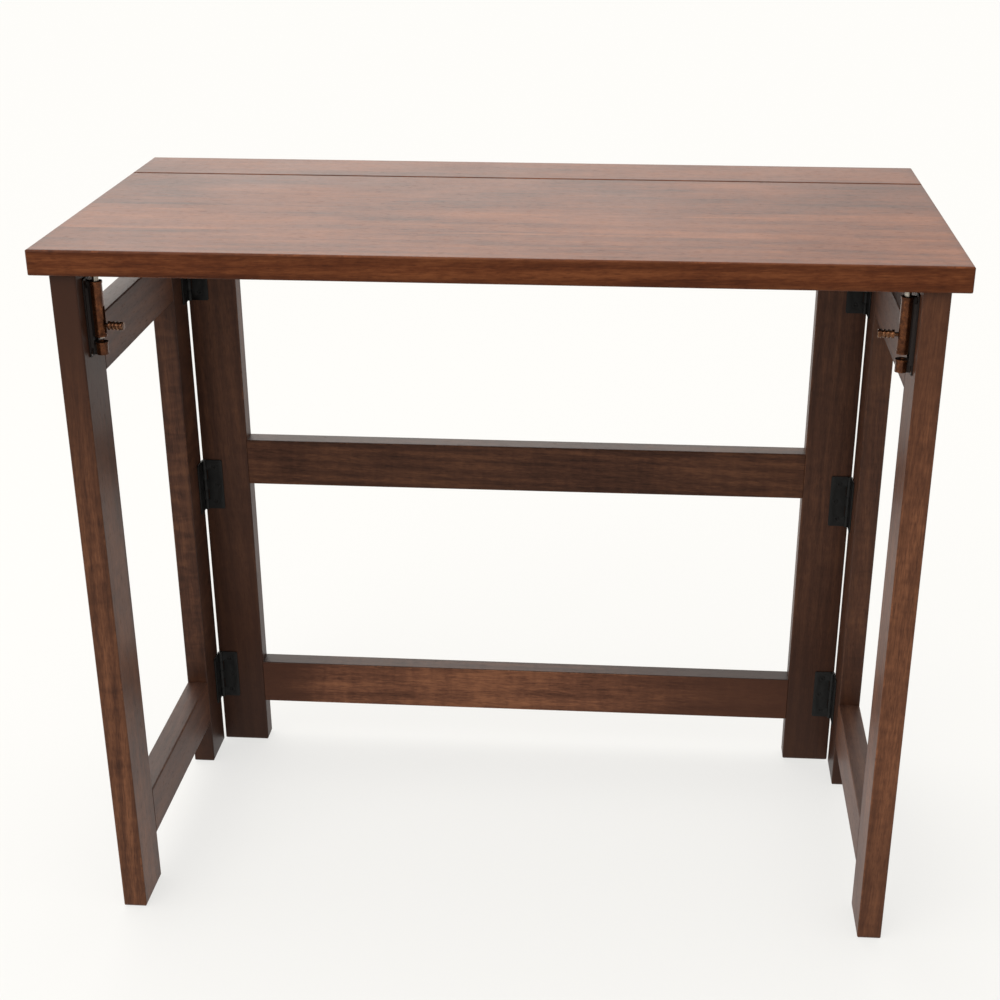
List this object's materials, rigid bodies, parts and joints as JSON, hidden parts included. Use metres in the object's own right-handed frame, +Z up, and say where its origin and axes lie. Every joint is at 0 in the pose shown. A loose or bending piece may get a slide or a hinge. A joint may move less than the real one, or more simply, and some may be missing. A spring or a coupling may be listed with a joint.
{
  "type": "folding table",
  "caption": "Folding writing table with a hinged top over a back frame, side frames that swing in on butt hinges, and tower bolts that lock them under the top.",
  "frame": {"origin": "floor level, at the centre of the top's footprint", "axes": "+X along the table, +Y towards the back frame, +Z up; the sitter is on the -Y side"},
  "size_m": [0.885, 0.464, 0.75],
  "materials": {
    "top_wood": "walnut stain under semi-gloss lacquer",
    "leg_wood": "walnut stain under semi-gloss lacquer",
    "frame_wood": "walnut stain under semi-gloss lacquer",
    "dowel_wood": "bare beech",
    "hinge_black": "satin black lacquered steel",
    "pin_black": "satin black steel",
    "screw_black": "black zinc",
    "antique_copper": "antique copper, dark in the recesses",
    "rod_steel": "bright zinc",
    "screw_copper": "antique copper"
  },
  "bodies": {
    "back_frame": {"back_post_left": "frame_wood", "back_post_right": "frame_wood", "back_mid_rail": "frame_wood", "back_bottom_rail": "frame_wood", "top_strip": "top_wood", "strip_dowels": "dowel_wood", "left_lower_hinge_post_plate": "hinge_black", "left_lower_hinge_pin": "pin_black", "left_middle_hinge_post_plate": "hinge_black", "left_middle_hinge_pin": "pin_black", "left_upper_hinge_post_plate": "hinge_black", "left_upper_hinge_pin": "pin_black", "right_lower_hinge_post_plate": "hinge_black", "right_lower_hinge_pin": "pin_black", "right_middle_hinge_post_plate": "hinge_black", "right_middle_hinge_pin": "pin_black", "right_upper_hinge_post_plate": "hinge_black", "right_upper_hinge_pin": "pin_black", "post_hinge_screws": "screw_black", "leaf_hinge_left_strip_plate": "hinge_black", "leaf_hinge_left_pin": "pin_black", "leaf_hinge_right_strip_plate": "hinge_black", "leaf_hinge_right_pin": "pin_black", "leaf_hinge_strip_screws": "screw_black"},
    "leaf": {"top_leaf": "top_wood", "leaf_hinge_left_leaf_plate": "hinge_black", "leaf_hinge_right_leaf_plate": "hinge_black", "leaf_hinge_leaf_screws": "screw_black", "bolt_keeper_left": "antique_copper", "bolt_keeper_right": "antique_copper", "bolt_keeper_screws": "screw_copper"},
    "left_frame": {"left_front_leg": "leg_wood", "left_rear_leg": "frame_wood", "left_top_rail": "frame_wood", "left_bottom_rail": "frame_wood", "left_lower_hinge_frame_plate": "hinge_black", "left_middle_hinge_frame_plate": "hinge_black", "left_upper_hinge_frame_plate": "hinge_black", "left_frame_hinge_screws": "screw_black", "left_bolt_body": "antique_copper", "left_bolt_screws": "screw_copper"},
    "right_frame": {"right_front_leg": "leg_wood", "right_rear_leg": "frame_wood", "right_top_rail": "frame_wood", "right_bottom_rail": "frame_wood", "right_lower_hinge_frame_plate": "hinge_black", "right_middle_hinge_frame_plate": "hinge_black", "right_upper_hinge_frame_plate": "hinge_black", "right_frame_hinge_screws": "screw_black", "right_bolt_body": "antique_copper", "right_bolt_screws": "screw_copper"},
    "left_bolt": {"left_bolt_rod": "rod_steel", "left_bolt_knob": "antique_copper"},
    "right_bolt": {"right_bolt_rod": "rod_steel", "right_bolt_knob": "antique_copper"}
  },
  "joints": [
    {"name": "leaf_hinge", "type": "hinge", "parent": "back_frame", "child": "leaf", "pos_m": [0, 0.139, 0.722], "axis": [-1, 0, 0], "range_deg": [0, 4]},
    {"name": "left_frame_hinge", "type": "hinge", "parent": "back_frame", "child": "left_frame", "pos_m": [-0.396, 0.167, 0.363], "axis": [0, 0, 1], "range_deg": [0, 90]},
    {"name": "right_frame_hinge", "type": "hinge", "parent": "back_frame", "child": "right_frame", "pos_m": [0.396, 0.167, 0.363], "axis": [0, 0, -1], "range_deg": [0, 90]},
    {"name": "left_bolt_slide", "type": "slide", "parent": "left_frame", "child": "left_bolt", "axis": [0, 0, -1], "range_m": [-0.017, 0.0055]},
    {"name": "right_bolt_slide", "type": "slide", "parent": "right_frame", "child": "right_bolt", "axis": [0, 0, -1], "range_m": [-0.01, 0.0125]}
  ]
}
